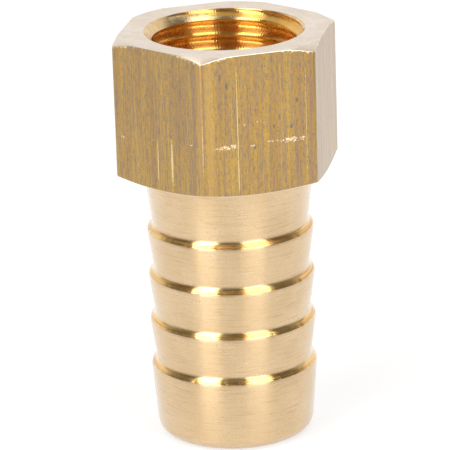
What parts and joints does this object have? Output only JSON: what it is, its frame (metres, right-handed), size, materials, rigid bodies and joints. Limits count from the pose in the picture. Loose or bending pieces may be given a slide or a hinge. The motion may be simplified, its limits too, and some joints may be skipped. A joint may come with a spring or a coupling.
{
  "type": "female hose nipple",
  "caption": "One-piece turned brass hose nipple: an internally threaded hexagon head on a straight barbed tail, to join a hose to a threaded pipe.",
  "frame": {"origin": "centre of the hose end's face, on the axis", "axes": "+Z along the axis from the hose end to the threaded mouth; two flats of the hexagon face +Y and -Y, two corners lie on +X and -X"},
  "size_m": [0.0196, 0.017, 0.0353],
  "materials": {
    "turned_brass": "bright turned brass on the tail, the faces and the bore, with the drawn bar's dull streaked skin left on the flats"
  },
  "bodies": {
    "root": {"nipple_body": "turned_brass"}
  },
  "joints": []
}
